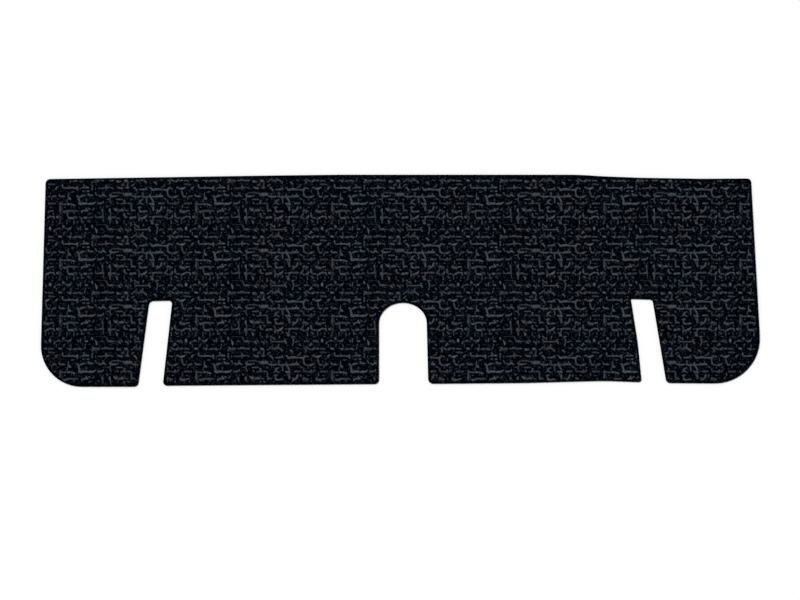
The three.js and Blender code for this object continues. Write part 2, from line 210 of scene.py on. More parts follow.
    (0.7, (76.5, 53.2, 1.8), (79.4, 53.4, 1.3), (80.5, 52.6, 1.3)),
    (1, (81.2, 53, 1.6), (82.6, 53.1, 3)),
    (0.9, (83.5, 53.5, 1.8), (84.5, 53.9, 1.6), (85.7, 55, 1.8), (86.3, 56.2, 1.5)),
    (0.6, (100.2, 52.6, 1.3), (101.5, 53.3, 1.6), (103.2, 53.5, 1.6)),
    (0.65, (109.3, 52.5, 1.4), (110.7, 52.3, 1.5), (112, 53, 1.5)),
    (1.03, (112.2, 53.5, 1.5), (113, 53.8, 1.5)),
    (0.7, (113.3, 54, 1.5), (115.5, 54.5, 1.3)),
    (0.95, (116.2, 54.5, 1.7), (117.4, 54, 1.8)),
    (0.75, (118.4, 53.6, 1.7), (120, 53.6, 1.6)),
    (1.1, (120.8, 53.5, 1.6), (122.6, 53.6, 1.4)),
    (0.85, (124.2, 53.6, 1.2), (125.5, 53.8, 2), (127.5, 53.6, 1.6), (128.8, 54.3, 1.5)),
    (1.1, (134.6, 53.2, 1.4), (136, 53.7, 1.7), (137.2, 53.8, 1.7)),
    (0.5, (137.4, 53.8, 1.5), (138.8, 54.3, 1.1)),
]
# Ties of warp, and hooks that lean across the rows
TIES = [
    (0.65, (8.6, 2.3, 1.2), (8.7, 4.5, 1.4)),
    (0.95, (17.6, 3.7, 1.6), (17.4, 5.4, 2), (17.6, 7.8, 1.4)),
    (0.7, (20.4, 5.2, 1.1), (20.4, 6.5, 1.1)),
    (0.7, (23.3, 1.4, 1.3), (24.3, 2.8, 1.2), (25, 4.5, 1.5)),
    (0.8, (32.3, 2.2, 1.6), (32.3, 4.5, 1.8), (32.2, 6.7, 1.5)),
    (0.75, (35.5, 5, 1.1), (35.5, 6.3, 1.1)),
    (0.45, (36.3, 0.5, 1.3), (36.5, 1.8, 1.3)),
    (0.85, (46, 2.2, 1.6), (46, 6.8, 1.6)),
    (0.75, (61.5, 2.3, 1.4), (63, 1.5, 2.2), (64, 0.8, 1.4)),
    (0.9, (67.7, 0.5, 1), (67.5, 2.5, 1.6), (67.4, 4.7, 3)),
    (0.75, (71.5, 3.2, 1.3), (72.3, 2.2, 1.6), (74.3, 1.3, 1.2)),
    (0.8, (86.3, 4.2, 1.3), (86.2, 5.5, 1.6)),
    (0.65, (101, 4.8, 1.4), (103.7, 3.4, 1.8), (104.6, 1.3, 1.5)),
    (0.9, (112.5, 6.2, 1.2), (111.3, 5.2, 1.4), (109.3, 4.9, 1.5), (108, 6, 1.8), (107.4, 8, 1.8),
     (107.7, 11, 1.3)),
    (0.9, (107.7, 11, 1.3), (108.4, 13.4, 1.6), (111, 13.9, 1.6), (112.7, 14.3, 1.4), (115.2, 13.9, 2.2),
     (117.9, 12.8, 1.7)),
    (0.65, (115.2, 7, 1), (115.4, 9, 1.5), (115.3, 9.8, 1.2)),
    (0.9, (8.4, 10.3, 1), (8.4, 13.5, 1.2), (9.4, 15.2, 2.6), (10.8, 16, 1.8)),
    (0.7, (9, 15.5, 1.8), (7.3, 16.7, 1.4), (7.3, 19.5, 1.2)),
    (0.9, (16.5, 13.3, 1.4), (18, 13, 2), (18.5, 15, 2), (19.3, 17.5, 1.8), (20, 20, 2.4)),
    (0.5, (26.3, 16, 1.8), (26.5, 18, 1.8)),
    (0.8, (35.3, 9.5, 1.2), (36.2, 11, 1.9), (36.7, 12.7, 1.1)),
    (0.85, (49.8, 11.2, 1.8), (50.6, 12.8, 2.2), (51.3, 13.8, 2)),
    (0.8, (50.6, 14.5, 1.2), (49.8, 17, 1.5), (50.3, 18.5, 1.8), (51.2, 20.5, 1.6)),
    (1, (64.6, 17.3, 1.4), (64.2, 19.3, 2.6)),
    (0.6, (75.4, 15, 1.1), (75.6, 16.8, 1.1)),
    (0.4, (76.8, 8, 1.2), (78, 10, 1)),
    (0.85, (79, 19.8, 1.8), (80, 18, 1.8), (81.5, 17.3, 1.1), (83, 16.8, 1)),
    (0.75, (82.7, 9.5, 1.6), (83, 11.5, 2), (82.6, 13, 1.3)),
    (0.8, (86, 14.5, 1.4), (86.5, 17.5, 1.7), (86.7, 20, 1.1)),
    (0.95, (90.4, 10.6, 1.2), (90.2, 13, 1.9), (92, 16.3, 2.2), (93, 18.2, 1.6), (93.6, 20.5, 1.6)),
    (0.8, (96.5, 11.5, 1.1), (96.6, 13, 1.5)),
    (0.85, (100.4, 10.5, 1.2), (100.5, 12.5, 2)),
    (0.7, (103.6, 15, 1.1), (105, 16, 1.5), (106.3, 16.7, 1.3)),
    (0.7, (107.7, 17.2, 1.5), (107.6, 19, 1.8)),
    (0.6, (112.3, 15.8, 1.3), (112.3, 17.2, 1.6)),
    (0.8, (121.6, 7.8, 1.3), (122, 9.5, 2), (122.7, 12, 1.7), (124, 13.9, 1.7), (126, 13.4, 1.5)),
    (0.65, (126.6, 9.9, 1.3), (126.5, 11.2, 1.2)),
    (0.7, (128.5, 14, 1.3), (127.4, 16, 1.7), (127.5, 17, 1.2)),
    (0.85, (0.2, 19.5, 1.8), (0.1, 24, 1.8), (0.2, 28.5, 2.2)),
    (0.4, (0.2, 29, 1.6), (0, 31.5, 1.3)),
    (0.5, (0.5, 33, 1.6), (0.5, 39, 1.3)),
    (0.5, (11.5, 22.5, 1.2), (11.5, 24.3, 1)),
    (0.7, (14, 28.5, 2), (14, 30.2, 1.6)),
    (0.75, (7.5, 29.5, 1.2), (7.5, 31, 1.3), (7.6, 32.7, 1.6), (8, 34, 1.5)),
    (0.9, (26.4, 25.2, 1.5), (26.4, 27, 1.6)),
    (0.7, (35.5, 32, 1.2), (35.5, 33.4, 1.6), (36.5, 34.5, 1.3)),
    (0.65, (38.3, 29.3, 1.4), (39.3, 30.5, 1.6)),
    (0.65, (40.3, 23.3, 1.1), (40.4, 24.8, 1.4)),
    (0.4, (43.3, 23.5, 1.2), (43.3, 25, 1.1)),
    (0.9, (42.3, 26, 1.5), (42.4, 27, 2), (42.7, 29, 1.6)),
    (0.7, (42.7, 29, 1.6), (42.8, 33, 1.5)),
    (0.9, (50.1, 25.7, 1.1), (49.5, 27.4, 2.2), (50, 28.6, 1.5), (50.7, 30.5, 1), (50.6, 32.5, 1.4)),
    (0.85, (49.8, 33.8, 3.2), (49.9, 36.2, 3.8)),
    (0.75, (50, 37.5, 1.8), (50.1, 40.3, 1.4)),
    (0.6, (56.5, 24.6, 1.2), (56.8, 26, 1.4), (58.8, 26.5, 1.2)),
    (0.5, (58, 28.7, 1.5), (58, 30.5, 1.3)),
    (0.6, (64.3, 24.3, 1.1), (64.5, 26.8, 1.5)),
    (0.95, (64.3, 30.5, 1.4), (64.4, 32.3, 1.6), (64.8, 33.8, 1.9), (66, 34.3, 1.6)),
    (0.75, (67.5, 30.3, 1.6), (68.8, 31, 1.6), (69.8, 31, 1)),
    (0.7, (71, 20.3, 1.5), (71.4, 21.5, 1.5), (71.4, 24.5, 1.6), (71.5, 27, 1.7)),
    (0.95, (80.5, 23.5, 1.2), (79.3, 24.5, 2), (79.4, 26, 1.4), (79.4, 27.5, 1.9)),
    (0.7, (77.5, 30.7, 1.3), (78.7, 32, 1.5), (79.3, 33.5, 1.8), (79, 36, 1.9), (79, 38.5, 1.6)),
    (0.5, (82, 36.5, 1.7), (82, 38.7, 1.5)),
    (0.75, (86.3, 36.6, 1.8), (86.7, 37.8, 1.8)),
    (0.9, (92.7, 23, 1.6), (93.3, 25, 1.7), (93.2, 26.7, 2.2), (93.5, 28, 1.4)),
    (0.8, (93.2, 36, 1.5), (92.8, 37.5, 1.5)),
    (0.9, (101.6, 23.2, 1.3), (101.4, 25, 1.5), (100.7, 26.5, 2), (99.5, 28, 1.8), (97.5, 28.5, 2),
     (96.4, 30.5, 1)),
    (0.35, (102.3, 27.5, 1), (103.3, 29.5, 1.2)),
    (0.9, (104.5, 23.5, 1.2), (104.5, 24.8, 1.8), (104.5, 26, 1.2)),
    (0.85, (107.4, 30.5, 1.5), (107, 31.5, 1.3), (105.5, 33, 2), (106, 34, 1.8), (107.5, 35.2, 2),
     (107.6, 36.2, 1.2)),
    (0.6, (110.8, 29.5, 1.6), (109.5, 30.3, 1.3)),
    (0.5, (109.3, 34.7, 1.5), (109.3, 36.3, 1.2)),
    (0.9, (112.6, 32.5, 1.6), (112.2, 33.5, 1.9), (111.5, 34.8, 1.9)),
    (0.75, (115, 19.3, 2.2), (115, 21.8, 1.5)),
    (0.4, (115.4, 26.5, 1), (115.4, 28.3, 1.3)),
    (0.8, (115, 29.8, 1.5), (115, 31.5, 1.7), (115.3, 33.7, 1.9), (116.5, 34.8, 1.6), (119.8, 34.8, 1.8)),
    (0.75, (122.3, 21, 1), (122.4, 23, 1.6), (122.6, 24.7, 1.4)),
    (0.6, (129.5, 30, 1.3), (129.5, 32, 1.1)),
    (0.5, (135.6, 36.5, 1.3), (135.6, 37.8, 1.2)),
    (0.3, (2.8, 34.5, 1.6), (2.8, 36.5, 1.4)),
    (0.65, (7, 37.2, 1.5), (7.1, 39, 1.4), (6.8, 40.6, 1.8)),
    (0.8, (14, 37.8, 1.4), (14.1, 39.8, 1.9), (13.7, 41, 1.4)),
    (0.65, (17.5, 38, 1.8), (17.5, 38.9, 1.8), (17.3, 40, 1.2)),
    (0.7, (21.7, 36.5, 1.4), (21.7, 39.5, 1.6)),
    (0.75, (27.3, 37.4, 1.4), (28.5, 37.6, 1.6), (29.3, 38.5, 1.4), (29.6, 39.6, 1)),
    (0.8, (43.3, 35.8, 1.2), (43.4, 37, 1.3), (43.5, 38.8, 1.4)),
    (0.75, (55.7, 37.3, 1.5), (57, 38.5, 1.9)),
    (0.95, (57, 38.5, 1.9), (57.2, 39.6, 2.1), (57, 40.7, 1.5)),
    (0.7, (64.2, 37.5, 1.4), (64.2, 39.5, 1.4), (64, 40.8, 1.2)),
    (0.75, (70.9, 39.3, 1.3), (70.9, 40.5, 1.5), (71.5, 41.8, 1.7), (70.5, 42.7, 1.6)),
    (1.03, (91.2, 38.7, 1.6), (92.6, 39.4, 2.2)),
    (0.65, (99.8, 37.5, 1.8), (100.2, 39, 1.4), (100.3, 40, 1)),
    (0.75, (111.3, 37.6, 1.4), (111.3, 38.8, 1.4)),
    (1.03, (111.4, 39.4, 1.3), (111.4, 40.8, 1.3)),
    (1, (115, 37.3, 1.3), (116.5, 38, 1.7), (117.3, 38.8, 2)),
    (0.7, (121.5, 37, 1.6), (121.6, 39, 1.4), (121.5, 40.7, 1.1)),
    (0.6, (128.6, 37.9, 1.8), (128.9, 38.9, 1.5), (129.2, 39.8, 1)),
    (0.6, (135.7, 38.6, 1.4), (135.3, 40.2, 1.7), (134.8, 41.4, 1.2)),
    (1, (2.7, 42.4, 1.5), (3.4, 43.5, 2.4), (4, 44.4, 1.4)),
    (0.45, (2.6, 45, 1.3), (2.5, 46.6, 1.1)),
    (0.6, (11, 44.8, 1.2), (11.7, 43.2, 1.1)),
    (0.75, (17.6, 45, 1.3), (18.4, 46, 2.2), (18.5, 47, 1.6)),
    (0.9, (20.5, 43.4, 1.1), (20.4, 45.2, 1.5), (20.4, 46.9, 1.1)),
    (0.5, (25, 41.2, 1.6), (25, 43.5, 1.4), (25, 45.4, 1.6)),
    (0.95, (31.7, 42.3, 1.3), (32.2, 43.6, 1.8), (32.7, 45, 1.4)),
    (1.06, (35.3, 44.8, 1), (35.7, 46, 1.6), (36.3, 47.2, 2.4), (36.6, 48.8, 1.5), (36.6, 50.2, 1)),
    (0.3, (44.3, 47.3, 1), (44.4, 49.8, 1.1)),
    (0.8, (46.5, 42.2, 1.4), (47.2, 43.8, 1.9), (47.8, 45, 1.3)),
    (0.8, (70.4, 45.9, 1.1), (70.5, 46.8, 1.6), (70.7, 47.7, 1)),
    (0.7, (75.6, 42, 1.4), (76.6, 43, 1.7), (77.6, 43.6, 1.2)),
    (0.6, (74.3, 43.8, 1.2), (75.2, 45, 1.6), (75.8, 46.2, 1.2)),
    (0.75, (78.3, 42.2, 1.3), (78.5, 43.8, 1.5), (78.3, 45, 1)),
    (0.95, (83.2, 41.2, 1.4), (83.4, 42.2, 1.5), (83.2, 43.1, 1)),
    (0.8, (88.3, 45.6, 1.4), (89.3, 44.4, 1.5), (90.6, 44.5, 1.1)),
    (0.75, (96.2, 42.3, 1.4), (96.7, 43.5, 1.6)),
    (1, (97.4, 44.1, 1.5), (97.5, 45.2, 1.5)),
    (0.75, (97.3, 45.6, 1.5), (97.5, 47.5, 1.5), (97.2, 48.7, 1.5)),
    (0.95, (96.8, 49.1, 1.6), (96.4, 50.9, 1.3)),
    (0.4, (103.3, 41.2, 1.1), (103.8, 42.5, 1.2), (104.6, 44, 1.2)),
    (0.45, (110.6, 42.2, 1), (110.8, 44.5, 1.3), (110.5, 45.5, 1.6)),
    (1.1, (126.2, 43.8, 1.5), (126, 45.4, 2.5), (126.1, 47, 1.7)),
    (1, (130.5, 48.9, 1.1), (130.5, 47.8, 1.5), (130.9, 46.7, 1.3)),
    (0.6, (4.7, 48.8, 1.1), (4, 50.4, 1.9), (3.6, 51.9, 1.3)),
    (0.55, (10.6, 49.1, 1.2), (11, 50.8, 1.7), (10.8, 52.4, 1.4)),
    (0.7, (25.4, 49.2, 1.4), (25.6, 50.6, 1.6)),
    (0.85, (24.8, 51.6, 1.1), (24.6, 52.9, 1.5), (24.6, 53.8, 1.3)),
    (0.75, (31.9, 56.3, 1), (32.2, 55.2, 1.4), (32.7, 54, 1.6)),
    (0.6, (67.9, 55, 1.2), (68.5, 56.5, 1.2)),
    (0.5, (74.9, 52, 1.2), (76, 51.3, 1.2)),
    (0.5, (76.7, 49.2, 1.3), (76.4, 51, 1.3), (76.3, 52.8, 1.3)),
    (0.5, (76.3, 54, 1.2), (76.3, 55.6, 1)),
    (0.75, (82.5, 49.2, 1.4), (82.6, 51.5, 1.7)),
    (0.95, (103.2, 48.9, 1.3), (103.8, 49.7, 2), (104.5, 50.5, 1.2)),
    (0.85, (107.6, 53.4, 1.3), (109.5, 54, 1.9), (110, 55.3, 1.7), (110.7, 56.5, 1.3)),
    (0.9, (115.5, 48.1, 1.4), (115, 49.2, 2), (114, 50.2, 2), (113, 50.8, 1.2)),
    (0.7, (117.4, 53.4, 1.5), (118.3, 52.5, 1.6)),
    (0.7, (132.5, 49.4, 1.2), (132.4, 50.6, 1.1), (132.4, 51.7, 2)),
]
# Nubs, and short lengths of yarn that barely come through to the face
NUBS = [
    (0.8, (22.8, 8.2, 1.4), (24.6, 8, 1.6)),
    (0.9, (27.2, 8, 1.4), (28.8, 8.2, 1.7)),
    (0.4, (50, 1.8, 1), (51.5, 1.3, 1.1)),
    (0.5, (88.3, 4.6, 1.2), (91, 4.4, 1.3)),
    (0.5, (108, 1, 1.3), (110.8, 0.8, 1.4)),
    (0.8, (129, 7.8, 1.3), (129.9, 7.5, 1.6)),
    (0.4, (79.8, 0.5, 1.3), (80.6, 0.6, 1.3)),
    (0.65, (117.3, 16.5, 1.3), (119, 16.2, 1.4)),
    (0.5, (118, 18.5, 2), (119, 19.5, 1.6)),
    (0.4, (123.8, 17.5, 1.2), (125.2, 17.5, 1.2)),
    (0.4, (133.5, 16, 1.6), (135, 16, 1.4)),
    (0.55, (4.3, 24.3, 1.5), (5.3, 24.3, 1.5)),
    (0.4, (13.5, 24.5, 1.5), (14.5, 24.5, 1.4)),
    (0.45, (19, 24.3, 1.6), (19.3, 25.5, 1.4)),
    (0.75, (46.5, 22.8, 1.4), (47.5, 24, 1.8)),
    (0.5, (61.6, 25.8, 1.3), (62.4, 25.8, 1.3)),
    (0.3, (51.6, 30.5, 1.6), (52.6, 30.5, 1.6)),
    (0.4, (76.6, 21.3, 1.2), (77.4, 21.3, 1.2)),
    (0.8, (77.9, 24.3, 1.2), (78.8, 24.3, 1.3)),
    (0.4, (91, 24.5, 1.2), (92.5, 25, 1.2)),
    (0.4, (107.2, 24.3, 1), (107.8, 24.3, 1)),
    (0.7, (112.1, 24.3, 1.4), (113, 24.3, 1.4)),
    (0.7, (126.3, 24.5, 1.1), (127.5, 24.5, 1.7)),
    (0.5, (9.4, 38.3, 1.6), (10.2, 38.4, 1.7)),
    (0.6, (22.7, 38.5, 1.6), (24, 38.7, 1.6)),
    (0.3, (35, 37.8, 1.1), (35.7, 37.8, 1.1)),
    (0.35, (86.3, 38.2, 1.2), (86, 39, 1)),
    (0.75, (90.3, 37.6, 2), (92.3, 37.5, 1.6)),
    (0.9, (91.2, 40.6, 1.4), (93.4, 40.6, 1.4)),
    (0.45, (97, 37.5, 1.7), (98, 37.5, 1.5)),
    (0.4, (103.1, 37.2, 1.1), (103.7, 37.2, 1.1)),
    (0.3, (115.2, 39.6, 1), (115.4, 40.5, 1)),
    (0.5, (124.8, 38, 1.4), (124.8, 39, 1.3)),
    (0.3, (127.7, 36.3, 1.1), (128.4, 36.3, 1.1)),
    (0.5, (132.5, 37.9, 1.3), (132.4, 38.9, 1.2)),
    (0.6, (44, 41.5, 1.2), (45, 41.5, 1.2)),
    (0.65, (65.4, 41.1, 1.2), (66.2, 41.7, 1.6), (66.9, 42.8, 1)),
    (0.75, (117.3, 41.6, 1.1), (118.7, 41.5, 1.6)),
    (0.6, (127.7, 41.4, 1.1), (129, 41.5, 1.3)),
    (0.4, (16.2, 44.3, 1.1), (17.3, 44.8, 1)),
    (0.35, (41.2, 45.2, 1.1), (42.5, 45.2, 1)),
    (0.3, (53.5, 43.2, 1), (53.8, 45, 1.3)),
    (0.35, (60.7, 43.3, 1), (60.7, 44.6, 1.1)),
    (0.5, (68.2, 44.5, 1.2), (68.9, 44.8, 1.2)),
    (0.6, (68.2, 46.4, 1.1), (69, 45.9, 1.1)),
    (0.35, (117.3, 44.9, 1), (117.8, 44.1, 1)),
    (0.7, (8.9, 46.6, 1.4), (8.2, 47.4, 1.2)),
    (0.45, (7.3, 48.3, 1), (7.7, 48.8, 1)),
    (0.5, (52.5, 47.4, 1.3), (52.8, 48.7, 1)),
    (0.4, (15.2, 49.3, 1.2), (17, 49.8, 1.3), (18.6, 50.3, 1)),
    (0.4, (28.2, 49.2, 1.1), (29.6, 49.5, 1.4), (30.8, 49.2, 1)),
    (0.25, (124.7, 51.2, 1), (125.4, 51.5, 1)),
    (0.6, (31.6, 52.3, 1), (33, 52, 1.2)),
    (0.35, (27, 54.3, 1.1), (28, 54.7, 1.2)),
    (0.4, (96.2, 53.4, 1.1), (97.2, 53.4, 1.1)),
    (0.4, (90.5, 53, 1.4), (90.8, 54.5, 1.2)),
    (0.5, (90.3, 56.4, 1.3), (91, 56.9, 1.2)),
    (0.3, (132.2, 56.3, 1), (132.5, 57, 1)),
    (0.6, (74.4, 10.9, 1.5), (76.6, 10.7, 1.6)),
    (0.6, (81.4, 12.2, 1.3), (81.9, 14, 1.6)),
    (0.8, (106.8, 27.6, 1.4), (108, 29.3, 1.7)),
    (0.75, (109.4, 35.4, 1.5), (111.8, 35.4, 1.6)),
    (0.7, (104.6, 33.4, 1.3), (104.9, 35.1, 1.7)),
    (0.7, (95.7, 27.3, 1.5), (98, 26.8, 1.4)),
    (0.6, (15.2, 34.9, 1.4), (17.1, 34.6, 1.6)),
    (0.7, (57, 55.2, 1.4), (59.3, 55.4, 1.5)),
    (0.65, (33.6, 54.7, 1.4), (35.2, 55.2, 1.6)),
    (0.5, (0.8, 28.6, 1.5), (1.6, 31, 1.4)),
    (0.55, (42.2, 9.6, 1.3), (44, 9.7, 1.5)),
    (0.6, (74, 52.4, 1.4), (76.2, 53, 1.7)),
    (0.55, (78, 54.6, 1.4), (80.6, 54.4, 1.5)),
    (0.6, (79.8, 51.4, 1.3), (81.2, 51.5, 1.4)),
    (0.45, (1.4, 23.2, 1.3), (2.5, 27.6, 1.5)),
    (0.6, (68.6, 47.3, 1.3), (68.3, 49, 1.5)),
    (0.5, (118.4, 47.3, 1.3), (120.9, 47.5, 1.4)),
    (0.4, (121.2, 24.8, 1.3), (121.5, 26.7, 1.4)),
    (0.55, (36, 54.8, 1.3), (38.8, 54.9, 1.3)),
    (0.5, (64.5, 13.2, 1.2), (69, 13.1, 1.4)),
    (0.6, (-0.3, 40.6, 1.4), (0.9, 40.6, 1.3)),
    (0.5, (64, 55.1, 1.3), (66.5, 55.3, 1.4)),
    (0.65, (91.2, 22.3, 1.3), (91.8, 24, 1.4)),
    (0.75, (19.7, 54.6, 1.4), (21.3, 54.8, 1.4)),
    (0.6, (51.2, 10.3, 1.3), (51.6, 12, 1.4)),
    (0.6, (115.8, 49.4, 1.3), (117, 49.7, 1.3)),
    (0.55, (63.2, 2.4, 1.2), (64.8, 2.6, 1.3)),
    (0.75, (80.2, 24.6, 1.2), (81.2, 24.3, 1.5)),
    (0.5, (74.9, 12.4, 1.2), (75.8, 12.4, 1.2)),
    (0.45, (75.2, 42.5, 1.3), (74.7, 45, 1.2), (75.3, 48.5, 1.2)),
]

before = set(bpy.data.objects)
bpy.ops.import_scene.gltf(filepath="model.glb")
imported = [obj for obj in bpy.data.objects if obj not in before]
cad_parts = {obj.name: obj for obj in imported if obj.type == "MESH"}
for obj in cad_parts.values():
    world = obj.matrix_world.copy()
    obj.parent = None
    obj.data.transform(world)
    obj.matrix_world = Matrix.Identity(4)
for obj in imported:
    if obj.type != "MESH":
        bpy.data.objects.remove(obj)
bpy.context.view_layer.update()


# Outline


def underside_outline(node):
    """The corners of the node's flat underside, counter-clockwise from above."""
    mesh = node.data
    place = [tuple(round(c, 6) for c in v.co) for v in mesh.vertices]
    edges = set()
    for face in mesh.polygons:
        corners = [place[v] for v in face.vertices]
        if all(abs(c[2]) < 0.01 * MM for c in corners):
            edges |= set(zip(corners, corners[1:] + corners[:1]))
    onward = {b: a for a, b in edges if (b, a) not in edges}
    loop = [next(iter(sorted(onward)))]
    while onward[loop[-1]] != loop[0]:
        loop.append(onward[loop[-1]])
    return np.array([c[:2] for c in loop])


def inward(loop):
    """The unit vectors that point into a counter-clockwise loop at its corners, longer at sharp ones."""
    along = np.roll(loop, -1, axis=0) - loop
    along /= np.linalg.norm(along, axis=1)[:, None]
    left = np.stack([-along[:, 1], along[:, 0]], axis=1)
    both = left + np.roll(left, 1, axis=0)
    return 2 * both / (both**2).sum(axis=1)[:, None]


def inside_by(points, loop):
    """How far each point lies inside the loop, negative outside it."""
    a, b = loop, np.roll(loop, -1, axis=0)
    p = points[:, None, :]
    share = np.clip(((p - a) * (b - a)).sum(-1) / ((b - a) ** 2).sum(-1), 0, 1)
    away = np.linalg.norm(p - a - share[..., None] * (b - a), axis=-1).min(axis=1)
    spans = (a[:, 1] > p[..., 1]) != (b[:, 1] > p[..., 1])
    rise = np.where(a[:, 1] == b[:, 1], 1.0, b[:, 1] - a[:, 1])
    crossing = a[:, 0] + (p[..., 1] - a[:, 1]) / rise * (b[:, 0] - a[:, 0])
    odd = (spans & (p[..., 0] < crossing)).sum(axis=1) % 2 == 1
    return np.where(odd, away, -away)


# Meshes


def piece(name, vertices, faces, smooth_faces, materials, face_materials=None):
    """A mesh object that rides on the part."""
    mesh = bpy.data.meshes.new(name)
    mesh.from_pydata([tuple(v) for v in vertices], [], [tuple(f) for f in faces])
    mesh.polygons.foreach_set("use_smooth", smooth_faces)
    for m in materials:
        mesh.materials.append(m)
    if face_materials is not None:
        mesh.polygons.foreach_set("material_index", face_materials)
    mesh.update()
    obj = bpy.data.objects.new(name, mesh)
    bpy.context.scene.collection.objects.link(obj)
    return obj


def cloth_sheet(loop, materials):
    """The sheet: a flat underside, an upright cut wall and an upper edge that rolls over to the top."""
    n = len(loop)
    into = inward(loop)
    rings = [(0.0, 0.0), (0.0, WALL_MIDDLE)]
    for i in range(ROLL_STEPS + 1):
        turn = math.pi / 2 * i / ROLL_STEPS
        rings.append((EDGE_ROLL * (1 - math.cos(turn)), CLOTH_TOP - EDGE_ROLL * (1 - math.sin(turn))))
    vertices = np.concatenate([np.column_stack([loop + inset * into, np.full(n, z)]) for inset, z in rings])
    faces, slots = [], []
    for ring in range(len(rings) - 1):
        for i in range(n):
            j = (i + 1) % n
            faces.append((ring * n + i, ring * n + j, (ring + 1) * n + j, (ring + 1) * n + i))
            slots.append(WALL if ring < 2 else FACE)
    bottom = tessellate_polygon([[Vector((x, y, 0)) for x, y in loop]])
    last = (len(rings) - 1) * n
    top = tessellate_polygon([[Vector(v) for v in vertices[last:]]])
    for triangles, first, up, slot in ((bottom, 0, False, BACK), (top, last, True, FACE)):
        for t in triangles:
            a, b, c = (vertices[first + i][:2] for i in t)
            is_up = (b[0] - a[0]) * (c[1] - a[1]) - (b[1] - a[1]) * (c[0] - a[0]) > 0
            faces.append([first + i for i in (t if is_up == up else t[::-1])])
            slots.append(slot)
    return piece("mat_cloth", vertices, faces, [len(f) == 4 for f in faces], materials, slots)


def rounded(points):
    """A smooth line through the points: a Catmull-Rom curve."""
    points = np.array(points, float)
    if len(points) < 3:
        return points
    points = np.concatenate([[2 * points[0] - points[1]], points, [2 * points[-1] - points[-2]]])
    t = np.linspace(0, 1, CURVE_SPANS, endpoint=False)[:, None]
    spans = [
        b + 0.5 * t * (c - a + t * (2 * a - 5 * b + 4 * c - d + t * (3 * (b - c) + d - a)))
        for a, b, c, d in zip(points, points[1:], points[2:], points[3:])
    ]
    return np.concatenate([*spans, points[-2:-1]])


def lengths(line):
    """How far along the line each of its points is."""
    return np.concatenate([[0], np.cumsum(np.linalg.norm(np.diff(line[:, :2], axis=0), axis=1))])


def drawn_out(line):
    """The line with its ends drawn out to where a round end of its width would stop."""
    line = line.copy()
    for end, before in ((0, 1), (-1, -2)):
        away = line[end, :2] - line[before, :2]
        line[end, :2] += END_REACH * line[end, 2] * away / np.linalg.norm(away)
    return line


def spaced(line, step):
    """The line again, with points about a step apart, and closer at the ends of a short line."""
    along = lengths(line)
    spans = max(LEAST_SPANS, round(along[-1] / step))
    at = np.linspace(0, 1, spans + 1)
    at -= END_CROWDING / spans * np.sin(2 * math.pi * at) / (2 * math.pi)
    at *= along[-1]
    return np.stack([np.interp(at, along, column) for column in line.T], axis=1)


def knobs(random, count):
    """Uneven spinning: how much thicker or thinner each point of a yarn is, about -1 to 1."""
    return np.clip(random.normal(size=count), -KNOB_LIMIT, KNOB_LIMIT) / KNOB_EVENNESS


def sideways(line):
    """The unit vectors to the left of the line at its points."""
    forward = np.gradient(line[:, :2], axis=0)
    forward /= np.linalg.norm(forward, axis=1)[:, None]
    return np.stack([-forward[:, 1], forward[:, 0]], axis=1)


def slub_shape(points, tone, random):
    """A slub as the repeat has it, point by point: x, y, width, height and tone."""
    line = np.array([(x * END, -y * PICK, (width + WIDTH_SPARE) * END) for x, y, width in points])
    line = spaced(drawn_out(rounded(line)), SLUB_STEP)
    count = len(line)
    line[:, :2] += sideways(line) * (SWAY * knobs(random, count))[:, None]
    swell = knobs(random, count)
    width = line[:, 2] * (1 + SWELL * swell)
    by_width = BASE_FULLNESS + WIDTH_FULLNESS * width / END
    by_tone = 1 - TONE_FULLNESS + TONE_FULLNESS * tone
    fullness = np.clip(by_width * by_tone, LEAST_FULLNESS, 1)
    tones = tone * (1 + TONE_SWELL * swell + TONE_MOTTLE * knobs(random, count))
    return np.column_stack([line[:, :2], width, SLUB_HEIGHT * fullness, tones])


def stretches(line, loop):
    """The runs of a line that keep clear of the cut edge."""
    laid = inside_by(line[:, :2], loop) >= BARE_EDGE + EDGE_SHARE * line[:, 2]
    runs, start = [], None
    for i, on in enumerate([*laid, False]):
        if on and start is None:
            start = i
        if not on and start is not None:
            if i - start > 1:
                runs.append(line[start:i])
            start = None
    return runs


